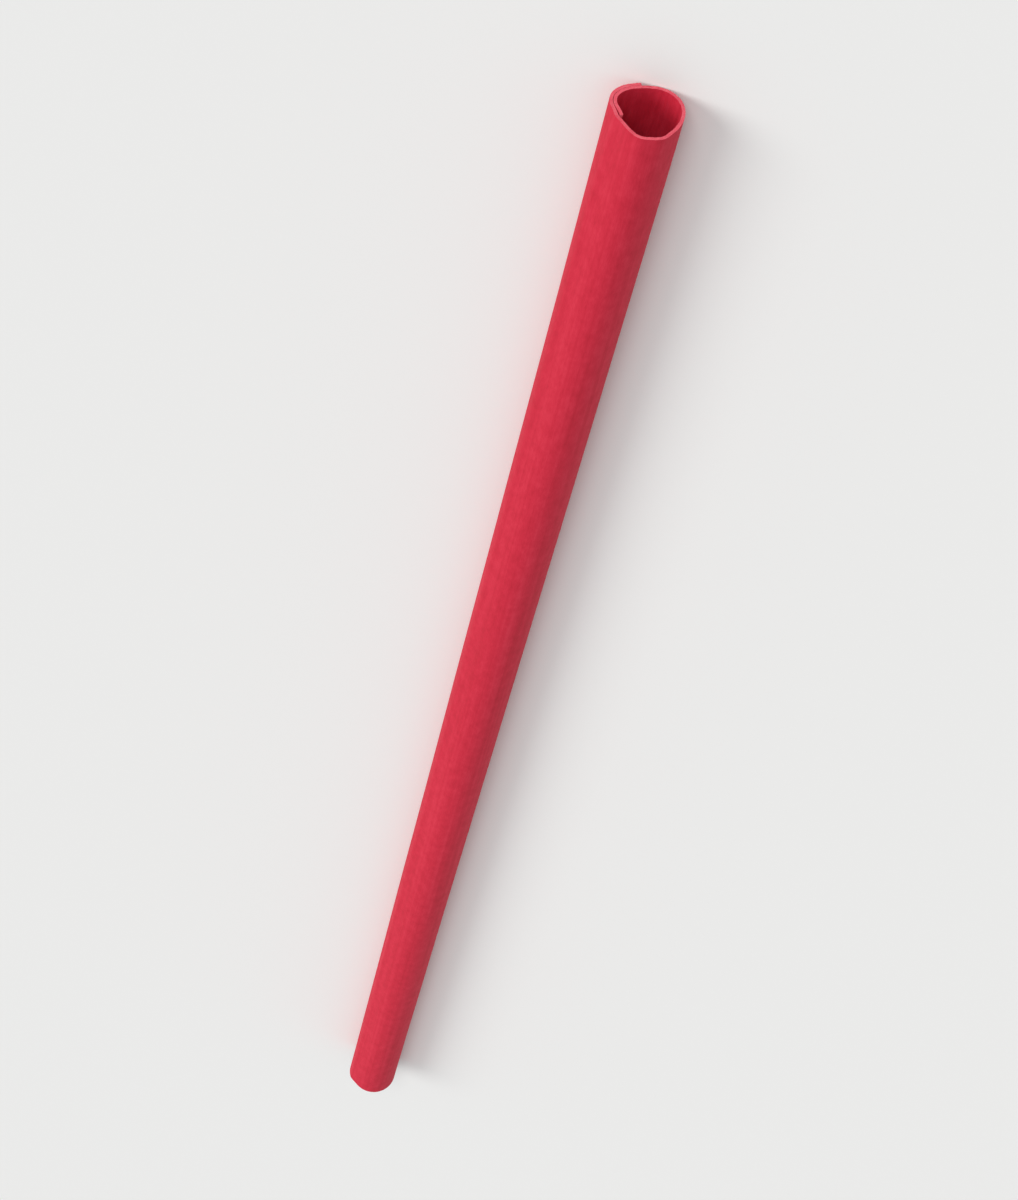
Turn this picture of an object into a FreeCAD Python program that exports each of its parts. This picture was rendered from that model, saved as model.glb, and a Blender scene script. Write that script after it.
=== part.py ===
import FreeCAD, Part
import Sketcher
import math
import os

# A drinking straw wrapped lengthwise from one strip of heavy coloured paper.
# The strip goes once round the bore and its second edge is glued down over its first edge.
# Across the straw the paper is therefore a spiral: one ply thick, and two plies thick in the lap.
#
# The straw lies along Y with its mouth at -Y, on the flat between the second edge's corner and
# the wall beside it. The origin is at the middle of the box's underside, and +Z is up.

NODE = "paper_tube"

DRIVING = [
    # alias, value, what it is
    ("straw_length", 197.0, "cut length, mm"),
    ("bore_radius", 2.7, "inside radius of the rolled strip, mm"),
    ("paper_thickness", 0.3, "one ply of the strip, mm"),
    ("lap_angle", 94.0, "how far the second edge runs past the first, degrees"),
]

ONE_PLY = "driving.bore_radius + driving.paper_thickness"
TWO_PLIES = "driving.bore_radius + 2 * driving.paper_thickness"
REST_TURN = f"acos(({ONE_PLY}) / ({TWO_PLIES}))"

ROOT = (-1, 1)
VERTICAL_AXIS = -2
START, END, CENTRE = 1, 2, 3


def make_sheet(doc):
    """The driving dimensions, one named cell each."""
    sheet = doc.addObject("Spreadsheet::Sheet", "driving")
    for row, (alias, value, meaning) in enumerate(DRIVING, start=1):
        sheet.set(f"A{row}", alias)
        sheet.set(f"B{row}", str(value))
        sheet.set(f"C{row}", meaning)
        sheet.setAlias(f"B{row}", alias)
    doc.recompute()
    return sheet


def polar(radius, degrees):
    """A point of the section, with its angle counted anticlockwise from the sketch's X axis."""
    angle = math.radians(degrees)
    return FreeCAD.Vector(radius * math.cos(angle), radius * math.sin(angle), 0)


def arc(radius, start, end):
    """An arc about the straw's axis, between two angles in degrees."""
    circle = Part.Circle(FreeCAD.Vector(0, 0, 0), FreeCAD.Vector(0, 0, 1), radius)
    return Part.ArcOfCircle(circle, math.radians(start), math.radians(end))


def origin_plane(body, role):
    """One of the body's own base planes."""
    return next(item for item in body.Origin.OriginFeatures if item.Role == role)


def draw_section(body, sheet):
    """The spiral section. The second edge points straight down, and the lap runs up to its right.

    Past the first edge the strip climbs over it on a straight that is tangent to the round wall,
    which leaves the small wedge-shaped gap beside the first edge that a rolled strip has.
    """
    sketch = body.newObject("Sketcher::SketchObject", "wrapped_section")
    sketch.AttachmentSupport = [(origin_plane(body, "XZ_Plane"), "")]
    sketch.MapMode = "FlatFace"

    bore = float(sheet.bore_radius)
    outside = bore + float(sheet.paper_thickness)
    over_lap = outside + float(sheet.paper_thickness)
    second_edge = -90.0
    first_edge = second_edge + float(sheet.lap_angle)
    climb_end = first_edge + math.degrees(math.acos(bore / outside))
    climb_start = climb_end - math.degrees(math.acos(outside / over_lap))
    full_turn = 360.0

    lap_outside = sketch.addGeometry(arc(over_lap, second_edge, climb_start))
    climb_outside = sketch.addGeometry(
        Part.LineSegment(polar(over_lap, climb_start), polar(outside, climb_end)))
    wall_outside = sketch.addGeometry(arc(outside, climb_end, second_edge + full_turn))
    second_edge_face = sketch.addGeometry(
        Part.LineSegment(polar(outside, second_edge), polar(over_lap, second_edge)))
    wall_inside = sketch.addGeometry(arc(bore, climb_end, first_edge + full_turn))
    first_edge_face = sketch.addGeometry(
        Part.LineSegment(polar(bore, first_edge), polar(outside, first_edge)))
    climb_inside = sketch.addGeometry(
        Part.LineSegment(polar(outside, first_edge), polar(bore, climb_end)))

    for curve in (lap_outside, wall_outside, wall_inside):
        sketch.addConstraint(Sketcher.Constraint("Coincident", curve, CENTRE, *ROOT))

    joins = [
        (lap_outside, END, climb_outside, START),
        (wall_outside, END, second_edge_face, START),
        (second_edge_face, END, lap_outside, START),
        (wall_inside, END, first_edge_face, START),
        (first_edge_face, END, climb_inside, START),
    ]
    for join in joins:
        sketch.addConstraint(Sketcher.Constraint("Coincident", *join))
    sketch.addConstraint(Sketcher.Constraint("Tangent", climb_outside, END, wall_outside, START))
    sketch.addConstraint(Sketcher.Constraint("Tangent", climb_inside, END, wall_inside, START))
    sketch.addConstraint(Sketcher.Constraint("Parallel", climb_outside, climb_inside))

    for end in (START, END):
        sketch.addConstraint(
            Sketcher.Constraint("PointOnObject", second_edge_face, end, VERTICAL_AXIS))
    sketch.addConstraint(Sketcher.Constraint("PointOnObject", *ROOT, first_edge_face))

    sizes = [
        ("bore", Sketcher.Constraint("Radius", wall_inside, bore), "driving.bore_radius"),
        ("outside", Sketcher.Constraint("Radius", wall_outside, outside), ONE_PLY),
        ("over_lap", Sketcher.Constraint("Radius", lap_outside, over_lap), TWO_PLIES),
        ("first_edge_ply",
         Sketcher.Constraint("Distance", first_edge_face, outside - bore),
         "driving.paper_thickness"),
        ("lap",
         Sketcher.Constraint("Angle", second_edge_face, START, first_edge_face, START,
                             math.radians(float(sheet.lap_angle))),
         "driving.lap_angle * 1 deg"),
    ]
    for name, constraint, expression in sizes:
        index = sketch.addConstraint(constraint)
        sketch.renameConstraint(index, name)
        sketch.setExpression(f"Constraints.{name}", expression)
    return sketch


def make_paper_tube(doc, sheet):
    """The whole straw: the section drawn out both ways from its middle, then laid to rest."""
    body = doc.addObject("PartDesign::Body", NODE)
    body.Label = NODE
    sketch = draw_section(body, sheet)
    doc.recompute()

    pad = body.newObject("PartDesign::Pad", "drawn_out")
    pad.Profile = sketch
    pad.SideType = "Symmetric"
    pad.setExpression("Length", "driving.straw_length")
    sketch.Visibility = False

    # The straw is turned about its axis until the second edge's corner and the wall beside it
    # touch the ground together, and it stands one radius up. The lap makes it wider on its right.
    body.Placement = FreeCAD.Placement(FreeCAD.Vector(0, 0, 0),
                                       FreeCAD.Rotation(FreeCAD.Vector(0, -1, 0), 1))
    body.setExpression("Placement.Rotation.Angle", REST_TURN)
    body.setExpression("Placement.Base.x", "-driving.paper_thickness / 2")
    body.setExpression("Placement.Base.z", ONE_PLY)
    return body


def check(doc, parts):
    """Stops if any object failed, or if a piece isn't one whole valid solid."""
    for item in doc.Objects:
        if "Invalid" in item.State or "Error" in item.State:
            raise RuntimeError(f"{item.Label} failed: {item.State}")
    for part in parts:
        shape = part.Shape
        if shape.isNull() or not shape.isValid() or len(shape.Solids) != 1:
            raise RuntimeError(f"{part.Label} isn't one valid solid")


doc = FreeCAD.newDocument("wrapped_straw")
sheet = make_sheet(doc)
paper_tube = make_paper_tube(doc, sheet)
doc.recompute()
check(doc, [paper_tube])

print("volume", paper_tube.Shape.Volume, "box", paper_tube.Shape.BoundBox)

os.makedirs("parts", exist_ok=True)
paper_tube.Shape.exportStep(f"parts/{NODE}.step")
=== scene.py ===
import bpy
import math
from mathutils import Matrix, Vector, noise


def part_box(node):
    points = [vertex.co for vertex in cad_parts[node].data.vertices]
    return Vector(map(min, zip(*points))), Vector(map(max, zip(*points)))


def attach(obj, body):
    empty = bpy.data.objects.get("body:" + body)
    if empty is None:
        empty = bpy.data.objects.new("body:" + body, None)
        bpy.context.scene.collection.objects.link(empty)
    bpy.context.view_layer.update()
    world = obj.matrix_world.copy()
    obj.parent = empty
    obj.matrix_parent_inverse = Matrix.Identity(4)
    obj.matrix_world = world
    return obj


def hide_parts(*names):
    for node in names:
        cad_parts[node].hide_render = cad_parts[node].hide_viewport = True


# A drinking straw wrapped lengthwise from one strip of red paper, lying on a pale floor.
# The section is worked out in millimetres, with angles in degrees counted anticlockwise from
# +X as the mouth is seen from -Y, and is turned into metres when the mesh is made.

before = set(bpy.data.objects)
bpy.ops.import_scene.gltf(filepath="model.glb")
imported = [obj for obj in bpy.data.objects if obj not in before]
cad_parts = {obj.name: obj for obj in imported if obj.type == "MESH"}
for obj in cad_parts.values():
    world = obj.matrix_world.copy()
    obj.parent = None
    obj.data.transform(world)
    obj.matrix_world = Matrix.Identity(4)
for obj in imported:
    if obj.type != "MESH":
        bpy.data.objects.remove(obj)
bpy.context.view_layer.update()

MM = 0.001
FULL_TURN = 360.0

# The straw's own sizes, read from the frame: it stands one radius up, and the lap makes it wider.
low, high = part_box("paper_tube")
PLY = ((high[0] - low[0]) - (high[2] - low[2])) / MM
OUTSIDE = (high[2] - low[2]) / MM / 2
BORE = OUTSIDE - PLY
MOUTH_Y = low[1] / MM
FAR_Y = high[1] / MM
AXIS_X = low[0] / MM + OUTSIDE
AXIS_Z = low[2] / MM + OUTSIDE

# The wrap. The strip runs clockwise and outward from its first edge to its second.
LAP = 94.0
SECOND_EDGE = -90.0 + math.degrees(math.acos(OUTSIDE / (OUTSIDE + PLY)))
FIRST_EDGE = SECOND_EDGE + LAP

# A thin line of glue keeps the plies apart, and each ply gives up half of it.
GLUE_LINE = 0.012
PAPER = PLY - GLUE_LINE / 2

# The bend over the first edge is rounded over this many degrees each side.
EDGE_SOFTENING = 4.0
SOFTENING_SAMPLES = 9

# The mouth, pressed a little out of round by handling and by the stiff lap. Each form has its
# height in millimetres, its angle, and the length along the straw over which it fades.
MOUTH_TRIANGLE = 0.17
TRIANGLE_CORNER = -14.0
MOUTH_SQUARE = 0.05
SQUARE_CORNER = 87.0
MOUTH_SHRINK = 0.04
MOUTH_FADE = 13.0
MOUTH_DENT = 0.30
DENT_AT = 18.0
DENT_WIDTH = 19.0
DENT_FADE = 7.0

# Small knuckles in the mouth's upper side, as (angle, width in degrees, how far out).
KNUCKLES = ((84.0, 8.0, 0.06), (105.0, 10.0, -0.07), (127.0, 9.0, 0.06))
KNUCKLE_FADE = 3.0

# The length between the ends, and the far end, which is a little oval and is drawn in by a
# share of that.
BODY_TRIANGLE = 0.045
BODY_WAVE = 0.02
BODY_WAVE_LENGTH = 28.0
FAR_OVAL = 0.09
FAR_OVAL_AT = 20.0
FAR_OVAL_SHRINK = 0.5
FAR_FADE = 10.0

# The ground holds the wall between these angles, so the length keeps its true form there.
GROUND_FROM, GROUND_TO, GROUND_FADE = -98.0, -58.0, 26.0

# The plies stand apart beside the first edge, where the glue doesn't reach the mouth.
UNGLUED_GAP = 0.11
UNGLUED_WIDTH = 34.0
UNGLUED_FADE = 5.0

# The cut ends: a slow wander of the blade and the paper's fine burr. The wander of each end is
# a sum of waves round the straw, as (how many, share, start in radians).
CUT_WANDER = 0.07
MOUTH_CUT_WAVES = ((1.0, 1.0, 0.8), (3.0, 0.5, 0.0))
FAR_CUT_WAVES = ((1.0, 1.0, -1.9), (2.0, 0.4, 0.0))
CUT_FADE = 1.2

# The burr is two layers of noise, as (share, cells in a degree, layer), that change along the
# straw by so many cells in a millimetre. Inside the cut face, the noise moves on by so many
# cells from point to point, round the straw and across the paper.
CUT_BURR = 0.030
BURR_LAYERS = ((1.0, 0.9, 2.5), (0.6, 2.7, 7.5))
BURR_ALONG = 0.37
CELL_STEP_ROUND, CELL_STEP_ACROSS = 0.8, 3.1

# How finely the mesh is made: rings in millimetres, and cells across a cut end.
STEP_DEGREES = 2.0
FINEST_RING = 0.16
RING_GROWTH = 1.13
WIDEST_RING = 2.2
EDGE_CELLS = 4

# The mesh's material slots, and its coordinates: metres along the strip and along the straw.
# The inner face lies further along them, so that its grain isn't the outer face's.
PAPER_FACE, CUT_FACE = 0, 1
COORDINATES = "strip"
INNER_FACE_SHIFT = 0.1

# Colours from dark to pale, as (place in the tone, colour).
PAPER_COLOURS = (
    (0.34, (0.490, 0.0095, 0.0300)),
    (0.50, (0.585, 0.0165, 0.0445)),
    (0.67, (0.665, 0.0320, 0.0660)),
)
CUT_COLOURS = (
    (0.34, (0.610, 0.0350, 0.0680)),
    (0.52, (0.750, 0.0900, 0.1300)),
    (0.70, (0.850, 0.1900, 0.2300)),
)
FLOOR_COLOUR = (0.88, 0.88, 0.87)
FLOOR_HALF_SIDE = 12.0

# The sky's light on the straw, and its brightness where it is seen beyond the floor.
SKY_LIGHT = 0.50
SEEN_SKY = 0.82


def degrees_between(angle, centre):
    """The signed angle from centre to angle, the short way round."""
    return (angle - centre + FULL_TURN / 2) % FULL_TURN - FULL_TURN / 2


def bell(distance, width):
    """A soft bump, 1 at no distance."""
    return math.exp(-(distance / width) ** 2)


def smooth_step(value):
    """0 to 1 with level ends."""
    value = min(max(value, 0.0), 1.0)
    return value * value * (3.0 - 2.0 * value)


def lobes(count, angle, corner):
    """A wave with so many lobes round the straw, 1 at its corner and -1 between two corners."""
    return math.cos(math.radians(count * (angle - corner)))


def plain_radius(turn):
    """The middle of the ply, turn degrees along the strip from its first edge."""
    inner = BORE + PAPER / 2
    outer = OUTSIDE + GLUE_LINE / 2 + PAPER / 2
    climb = math.degrees(math.acos(inner / outer))
    if turn <= FULL_TURN - climb:
        return inner
    if turn < FULL_TURN:
        return inner / math.cos(math.radians(turn - (FULL_TURN - climb)))
    return outer


def strip_radius(turn):
    """The middle of the ply with the bend over the first edge rounded, as stiff paper bends."""
    total = 0.0
    for index in range(SOFTENING_SAMPLES):
        offset = EDGE_SOFTENING * (2.0 * index / (SOFTENING_SAMPLES - 1) - 1.0)
        total += plain_radius(turn + offset)
    return total / SOFTENING_SAMPLES


def ground_hold(angle):
    """1 where the straw rests on the ground, fading to 0 beside it."""
    middle = (GROUND_FROM + GROUND_TO) / 2
    beyond = abs(degrees_between(angle, middle)) - (GROUND_TO - GROUND_FROM) / 2
    return 1.0 - smooth_step(beyond / GROUND_FADE)


def out_of_round(angle, y):
    """How far the wall stands out from its round form, in millimetres."""
    from_mouth, from_far_end = y - MOUTH_Y, FAR_Y - y
    at_mouth = math.exp(-from_mouth / MOUTH_FADE)
    free = 1.0 - ground_hold(angle)

    triangle = lobes(3.0, angle, TRIANGLE_CORNER)
    square = lobes(4.0, angle, SQUARE_CORNER)
    mouth = MOUTH_TRIANGLE * triangle + MOUTH_SQUARE * square - MOUTH_SHRINK
    dent = MOUTH_DENT * bell(degrees_between(angle, DENT_AT), DENT_WIDTH)
    knuckles = sum(size * bell(degrees_between(angle, at), width) for at, width, size in KNUCKLES)
    far_end = FAR_OVAL * (lobes(2.0, angle, FAR_OVAL_AT) - FAR_OVAL_SHRINK)

    around = math.radians(angle)
    wave = noise.noise(Vector((math.cos(around), math.sin(around), y / BODY_WAVE_LENGTH)))
    body = BODY_TRIANGLE * triangle + BODY_WAVE * wave

    return (mouth * at_mouth
            - dent * math.exp(-from_mouth / DENT_FADE)
            + knuckles * math.exp(-from_mouth / KNUCKLE_FADE)
            + far_end * math.exp(-from_far_end / FAR_FADE) * free
            + body * free * (1.0 - at_mouth))


def unglued(turn, y):
    """How far the inner ply stands off the outer one at the mouth, beside its own edge."""
    if turn > LAP:
        return 0.0
    return UNGLUED_GAP * bell(turn, UNGLUED_WIDTH) * math.exp(-(y - MOUTH_Y) / UNGLUED_FADE)


def cut_offset(turn, angle, y):
    """How far a cut end wanders along the straw."""
    waves, from_end = (MOUTH_CUT_WAVES, y - MOUTH_Y) if y < 0 else (FAR_CUT_WAVES, FAR_Y - y)
    around = math.radians(angle)
    wander = sum(share * math.sin(count * around + start) for count, share, start in waves)
    burr = sum(share * noise.noise(Vector((turn * cells, y * BURR_ALONG, layer)))
               for share, cells, layer in BURR_LAYERS)
    return (CUT_WANDER * wander + CUT_BURR * burr) * math.exp(-from_end / CUT_FADE)


def ring_places():
    """The places of the rings along the straw, close together at both cut ends."""
    half = (FAR_Y - MOUTH_Y) / 2
    steps = []
    step, run = FINEST_RING, 0.0
    while run < half:
        steps.append(step)
        run += step
        step = min(step * RING_GROWTH, WIDEST_RING)
    scale = half / run
    places = [0.0]
    for step in steps + steps[::-1]:
        places.append(places[-1] + step * scale)
    return [MOUTH_Y + place for place in places]


def section(y):
    """The strip across the straw at y: outer points, inner points and the run along the strip."""
    count = round((FULL_TURN + LAP) / STEP_DEGREES)
    middle = []
    for index in range(count + 1):
        turn = (FULL_TURN + LAP) * index / count
        angle = FIRST_EDGE - turn
        radius = strip_radius(turn) + out_of_round(angle, y) - unglued(turn, y)
        around = math.radians(angle)
        place = Vector((radius * math.cos(around), radius * math.sin(around)))
        middle.append((turn, angle, place))

    outer, inner, runs = [], [], []
    run = 0.0
    for index, (turn, angle, place) in enumerate(middle):
        before = middle[max(index - 1, 0)][2]
        after = middle[min(index + 1, count)][2]
        along = (after - before).normalized()
        outward = Vector((-along.y, along.x))
        if outward.dot(place) < 0:
            outward.negate()
        if index:
            run += (place - before).length
        runs.append(run)
        shifted = y + cut_offset(turn, angle, y)
        for side, points in ((1.0, outer), (-1.0, inner)):
            point = place + outward * (side * PAPER / 2)
            points.append(Vector((AXIS_X + point.x, shifted, AXIS_Z + point.y)))
    return outer, inner, runs


def mark_sharp_edges(mesh):
    """The paper's faces are smooth, and their borders with the cut edges are crisp."""
    kinds = {}
    for face in mesh.polygons:
        for key in face.edge_keys:
            kinds.setdefault(key, set()).add(face.material_index)
    for edge in mesh.edges:
        edge.use_edge_sharp = len(kinds.get(tuple(sorted(edge.vertices)), ())) > 1


class StripMesh:
    """Collects the points and faces of the strip, with a material and a place on the strip each."""

    def __init__(self):
        self.vertices, self.faces, self.slots, self.places = [], [], [], []

    def add_points(self, points):
        """Adds points given in millimetres, and returns the first one's number."""
        start = len(self.vertices)
        self.vertices.extend(point * MM for point in points)
        return start

    def add_face(self, corners, places, slot, flip=False):
        """Adds a face, turned over where flip is set."""
        if flip:
            corners, places = corners[::-1], places[::-1]
        self.faces.append(corners)
        self.slots.append(slot)
        self.places.extend(places)

    def make(self, name):
        """The finished mesh, smooth over the paper and crisp at the cut edges."""
        mesh = bpy.data.meshes.new(name)
        mesh.from_pydata(self.vertices, [], self.faces)
        layer = mesh.uv_layers.new(name=COORDINATES)
        for loop, place in enumerate(self.places):
            layer.data[loop].uv = place
        for face, slot in zip(mesh.polygons, self.slots):
            face.material_index = slot
            face.use_smooth = True
        mark_sharp_edges(mesh)
        return mesh


def add_walls(strip, rings, outer_rows, inner_rows):
    """The paper's two faces, from ring to ring."""
    for row in range(len(rings) - 1):
        points, _, runs = rings[row]
        far_points = rings[row + 1][0]
        for index in range(len(points) - 1):
            left, right = runs[index] * MM, runs[index + 1] * MM
            near_y, far_y = points[index].y * MM, far_points[index].y * MM
            near, far = outer_rows[row] + index, outer_rows[row + 1] + index
            strip.add_face((near, near + 1, far + 1, far),
                           ((left, near_y), (right, near_y), (right, far_y), (left, far_y)),
                           PAPER_FACE)
            near, far = inner_rows[row] + index, inner_rows[row + 1] + index
            left, right = left + INNER_FACE_SHIFT, right + INNER_FACE_SHIFT
            strip.add_face((near, far, far + 1, near + 1),
                           ((left, near_y), (left, far_y), (right, far_y), (right, near_y)),
                           PAPER_FACE)


def add_cut_end(strip, ring, outer_row, inner_row, number, flip):
    """One cut end, in cells across the paper. Returns the first point of each line of cells."""
    outer, inner, runs = ring
    lines = [outer_row]
    for cell in range(1, EDGE_CELLS):
        points = []
        for index, point in enumerate(outer):
            point = point.lerp(inner[index], cell / EDGE_CELLS)
            grain = Vector((index * CELL_STEP_ROUND, cell * CELL_STEP_ACROSS, number))
            point.y += CUT_BURR * noise.noise(grain)
            points.append(point)
        lines.append(strip.add_points(points))
    lines.append(inner_row)
    for cell in range(EDGE_CELLS):
        top = PAPER * MM * cell / EDGE_CELLS
        bottom = PAPER * MM * (cell + 1) / EDGE_CELLS
        for index in range(len(outer) - 1):
            near, far = lines[cell] + index, lines[cell + 1] + index
            left, right = runs[index] * MM, runs[index + 1] * MM
            strip.add_face((near, far, far + 1, near + 1),
                           ((left, top), (left, bottom), (right, bottom), (right, top)),
                           CUT_FACE, flip)
    return lines


def add_long_edge(strip, rings, lines_at, index, flip):
    """One long edge of the strip. Its first and last faces take in the cut ends' own points."""
    for row in range(len(rings) - 1):
        near, far = lines_at[row], lines_at[row + 1]
        near_y, far_y = rings[row][0][index].y * MM, rings[row + 1][0][index].y * MM
        corners = tuple(line + index for line in far) + tuple(line + index for line in near[::-1])
        places = [(PAPER * MM * cell / (len(far) - 1), far_y) for cell in range(len(far))]
        places += [(PAPER * MM * cell / (len(near) - 1), near_y) for cell in range(len(near))][::-1]
        strip.add_face(corners, places, CUT_FACE, flip)


def make_straw():
    """The strip as one closed mesh: two faces, two cut ends and two long edges."""
    strip = StripMesh()
    rings = [section(y) for y in ring_places()]
    outer_rows = [strip.add_points(ring[0]) for ring in rings]
    inner_rows = [strip.add_points(ring[1]) for ring in rings]
    last_row = len(rings) - 1
    last_point = len(rings[0][0]) - 1
    add_walls(strip, rings, outer_rows, inner_rows)
    lines_at = list(zip(outer_rows, inner_rows))
    for row in (0, last_row):
        lines_at[row] = add_cut_end(strip, rings[row], outer_rows[row], inner_rows[row],
                                    row, flip=row == last_row)
    add_long_edge(strip, rings, lines_at, 0, flip=False)
    add_long_edge(strip, rings, lines_at, last_point, flip=True)
    return strip.make("wrapped_paper")


def link(tree, source, socket, target, name):
    """Joins one node's output to another node's input."""
    tree.links.new(source.outputs[socket], target.inputs[name])


def stretched_noise(tree, coordinates, across, along, detail):
    """Noise whose cells are across by along millimetres on the strip."""
    mapping = tree.nodes.new("ShaderNodeMapping")
    mapping.inputs["Scale"].default_value = (1.0 / (across * MM), 1.0 / (along * MM), 1.0)
    texture = tree.nodes.new("ShaderNodeTexNoise")
    texture.inputs["Scale"].default_value = 1.0
    texture.inputs["Detail"].default_value = detail
    link(tree, coordinates, "UV", mapping, "Vector")
    link(tree, mapping, "Vector", texture, "Vector")
    return texture


def weighted_sum(tree, parts):
    """Adds several noises, each times its weight."""
    total = None
    for node, weight in parts:
        scaled = tree.nodes.new("ShaderNodeMath")
        scaled.operation = "MULTIPLY_ADD"
        scaled.inputs[1].default_value = weight
        scaled.inputs[2].default_value = 0.0
        link(tree, node, "Fac", scaled, 0)
        if total:
            link(tree, total, "Value", scaled, 2)
        total = scaled
    return total


def colour_ramp(tree, source, stops):
    """A ramp from a value to colours, with stops of (place, colour)."""
    ramp = tree.nodes.new("ShaderNodeValToRGB")
    elements = ramp.color_ramp.elements
    while len(elements) < len(stops):
        elements.new(0.5)
    for element, (place, colour) in zip(elements, stops):
        element.position = place
        element.color = (*colour, 1.0)
    link(tree, source, "Value", ramp, "Fac")
    return ramp


def value_range(tree, source, lowest, highest):
    """Maps a value from 0..1 to a narrower range."""
    node = tree.nodes.new("ShaderNodeMapRange")
    node.inputs["To Min"].default_value = lowest
    node.inputs["To Max"].default_value = highest
    link(tree, source, "Value", node, "Value")
    return node


def add_bump(tree, shader, source, height, strength):
    """Bump from a value, with its height in millimetres."""
    bump = tree.nodes.new("ShaderNodeBump")
    bump.inputs["Strength"].default_value = strength
    bump.inputs["Distance"].default_value = height * MM
    link(tree, source, "Value", bump, "Height")
    link(tree, bump, "Normal", shader, "Normal")


def start_material(name):
    """A new material with its node tree, its shader and the strip's coordinates."""
    material = bpy.data.materials.new(name)
    material.use_nodes = True
    tree = material.node_tree
    shader = tree.nodes["Principled BSDF"]
    coordinates = tree.nodes.new("ShaderNodeUVMap")
    coordinates.uv_map = COORDINATES
    return material, tree, shader, coordinates


def make_paper():
    """Dyed red paper: cloudy formation, fibres that lie along the straw, and faint streaks."""
    material, tree, shader, coordinates = start_material("red_paper")
    clouds = stretched_noise(tree, coordinates, across=0.9, along=1.6, detail=3.0)
    streaks = stretched_noise(tree, coordinates, across=0.45, along=45.0, detail=2.0)
    fibres = stretched_noise(tree, coordinates, across=0.09, along=0.7, detail=3.0)
    grain = stretched_noise(tree, coordinates, across=0.05, along=0.07, detail=2.0)
    tone = weighted_sum(tree, ((clouds, 0.32), (streaks, 0.34), (fibres, 0.24), (grain, 0.10)))
    ramp = colour_ramp(tree, tone, PAPER_COLOURS)
    link(tree, ramp, "Color", shader, "Base Color")
    roughness = value_range(tree, tone, lowest=0.70, highest=0.86)
    link(tree, roughness, "Result", shader, "Roughness")
    relief = weighted_sum(tree, ((fibres, 0.45), (grain, 0.35), (clouds, 0.20)))
    add_bump(tree, shader, relief, height=0.04, strength=0.6)
    shader.inputs["Specular IOR Level"].default_value = 0.28
    return material


def make_cut_edge():
    """The cut through the paper: paler, where the dye is thinner and the fibres are torn."""
    material, tree, shader, coordinates = start_material("cut_paper")
    patches = stretched_noise(tree, coordinates, across=0.8, along=0.3, detail=2.0)
    fibres = stretched_noise(tree, coordinates, across=0.16, along=0.05, detail=4.0)
    grain = stretched_noise(tree, coordinates, across=0.05, along=0.05, detail=2.0)
    tone = weighted_sum(tree, ((patches, 0.35), (fibres, 0.40), (grain, 0.25)))
    ramp = colour_ramp(tree, tone, CUT_COLOURS)
    link(tree, ramp, "Color", shader, "Base Color")
    roughness = value_range(tree, tone, lowest=0.80, highest=0.95)
    link(tree, roughness, "Result", shader, "Roughness")
    add_bump(tree, shader, tone, height=0.05, strength=0.8)
    return material


def make_floor():
    """A plain pale floor, large enough to fill every view."""
    mesh = bpy.data.meshes.new("floor")
    corners = [(x * FLOOR_HALF_SIDE, y * FLOOR_HALF_SIDE, 0)
               for x, y in ((-1, -1), (1, -1), (1, 1), (-1, 1))]
    mesh.from_pydata(corners, [], [(0, 1, 2, 3)])
    floor = bpy.data.objects.new("floor", mesh)
    bpy.context.scene.collection.objects.link(floor)
    material = bpy.data.materials.new("pale_floor")
    material.use_nodes = True
    shader = material.node_tree.nodes["Principled BSDF"]
    shader.inputs["Base Color"].default_value = (*FLOOR_COLOUR, 1.0)
    shader.inputs["Roughness"].default_value = 0.9
    shader.inputs["Specular IOR Level"].default_value = 0.1
    mesh.materials.append(material)


def aim(thing, target, up):
    """Turns a camera or lamp at thing.location to face target, with up towards its top."""
    back = (thing.location - target).normalized()
    side = up.cross(back).normalized()
    top = back.cross(side)
    rotation = Matrix((side, top, back)).transposed()
    thing.rotation_euler = rotation.to_euler()


def add_soft_sun(name, direction, spread, strength, colour):
    """A distant soft lamp that shines from a direction, as even over the floor as on the straw."""
    data = bpy.data.lights.new(name, "SUN")
    data.angle = math.radians(spread)
    data.energy = strength
    data.color = colour
    lamp = bpy.data.objects.new(name, data)
    bpy.context.scene.collection.objects.link(lamp)
    lamp.location = direction
    aim(lamp, Vector((0, 0, 0)), Vector((0, 1, 0)))


def larger_value(tree, first, first_socket, second, second_socket):
    """A node that gives the larger of two values."""
    node = tree.nodes.new("ShaderNodeMath")
    node.operation = "MAXIMUM"
    link(tree, first, first_socket, node, 0)
    link(tree, second, second_socket, node, 1)
    return node


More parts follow.
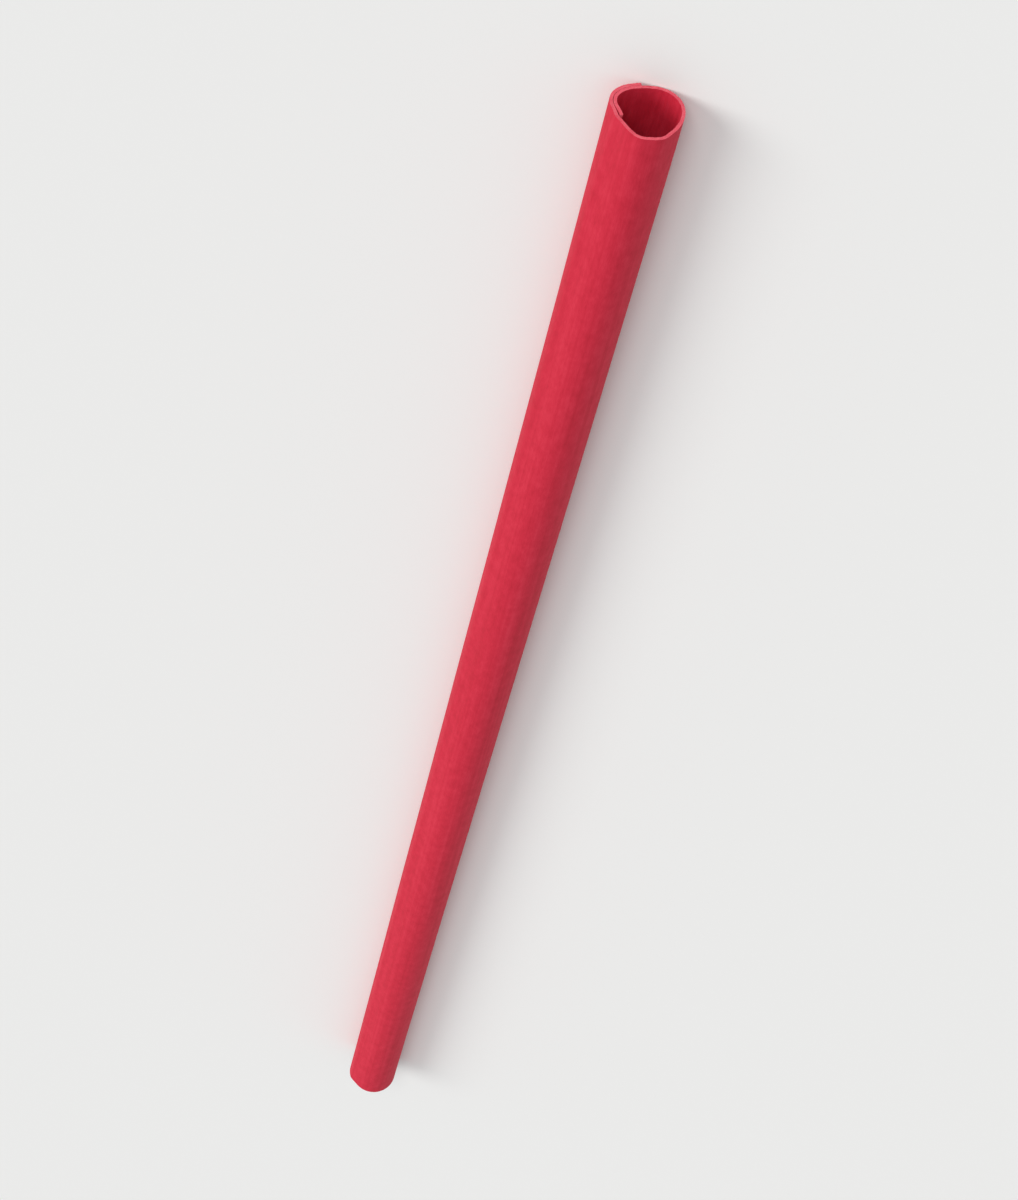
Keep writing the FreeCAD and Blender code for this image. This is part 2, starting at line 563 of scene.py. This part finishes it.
def add_world():
    """An even pale sky. Where it is seen, it is as bright as the lit floor, and hides its end."""
    world = bpy.data.worlds.new("studio")
    bpy.context.scene.world = world
    world.use_nodes = True
    tree = world.node_tree
    light = tree.nodes["Background"]
    light.inputs["Color"].default_value = (0.97, 0.985, 1.0, 1.0)
    light.inputs["Strength"].default_value = SKY_LIGHT
    seen = tree.nodes.new("ShaderNodeBackground")
    seen.inputs["Color"].default_value = (0.99, 1.0, 0.99, 1.0)
    seen.inputs["Strength"].default_value = SEEN_SKY
    path = tree.nodes.new("ShaderNodeLightPath")
    mirrored = larger_value(tree, path, "Is Glossy Ray", path, "Is Transmission Ray")
    direct = larger_value(tree, path, "Is Camera Ray", mirrored, "Value")
    mix = tree.nodes.new("ShaderNodeMixShader")
    link(tree, direct, "Value", mix, 0)
    link(tree, light, "Background", mix, 1)
    link(tree, seen, "Background", mix, 2)
    link(tree, mix, "Shader", tree.nodes["World Output"], "Surface")


def add_lights():
    """A soft lamp at the picture's left, a weaker one that looks into the mouth, and the sky."""
    add_soft_sun("key", Vector((0.80, -0.30, 0.60)), spread=32.0, strength=1.50,
                 colour=(1.0, 0.985, 0.97))
    add_soft_sun("fill", Vector((0.15, -0.85, 0.60)), spread=26.0, strength=0.98,
                 colour=(1.0, 0.99, 0.98))
    add_world()


def add_camera():
    """A camera placed as the photograph's was from the mouth, and aimed part of the way along.

    It aims at the middle of the straw as it looks from there, where the nearer half looks larger.
    The picture's top is towards the ground, so the mouth is at the top, as in the photograph.
    """
    mouth = Vector((AXIS_X, MOUTH_Y, AXIS_Z)) * MM
    to_camera = Vector((0.0007, -0.7088, 0.7055))
    distance_in_diameters = 36.3
    picture_top = Vector((0.274, -0.612, -0.742))
    aimed_along = 0.0728
    data = bpy.data.cameras.new("camera")
    data.sensor_fit = "VERTICAL"
    data.sensor_height = 36.0
    data.lens = 80.0
    data.clip_start = 0.01
    camera = bpy.data.objects.new("camera", data)
    bpy.context.scene.collection.objects.link(camera)
    camera.location = mouth + to_camera * distance_in_diameters * 2 * OUTSIDE * MM
    aim(camera, mouth + Vector((0, aimed_along, 0)), picture_top)
    bpy.context.scene.camera = camera


straw = bpy.data.objects.new("wrapped_paper", make_straw())
bpy.context.scene.collection.objects.link(straw)
straw.data.materials.append(make_paper())
straw.data.materials.append(make_cut_edge())
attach(straw, "root")
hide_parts("paper_tube")

make_floor()
add_lights()
add_camera()
bpy.context.scene.view_settings.view_transform = "Standard"
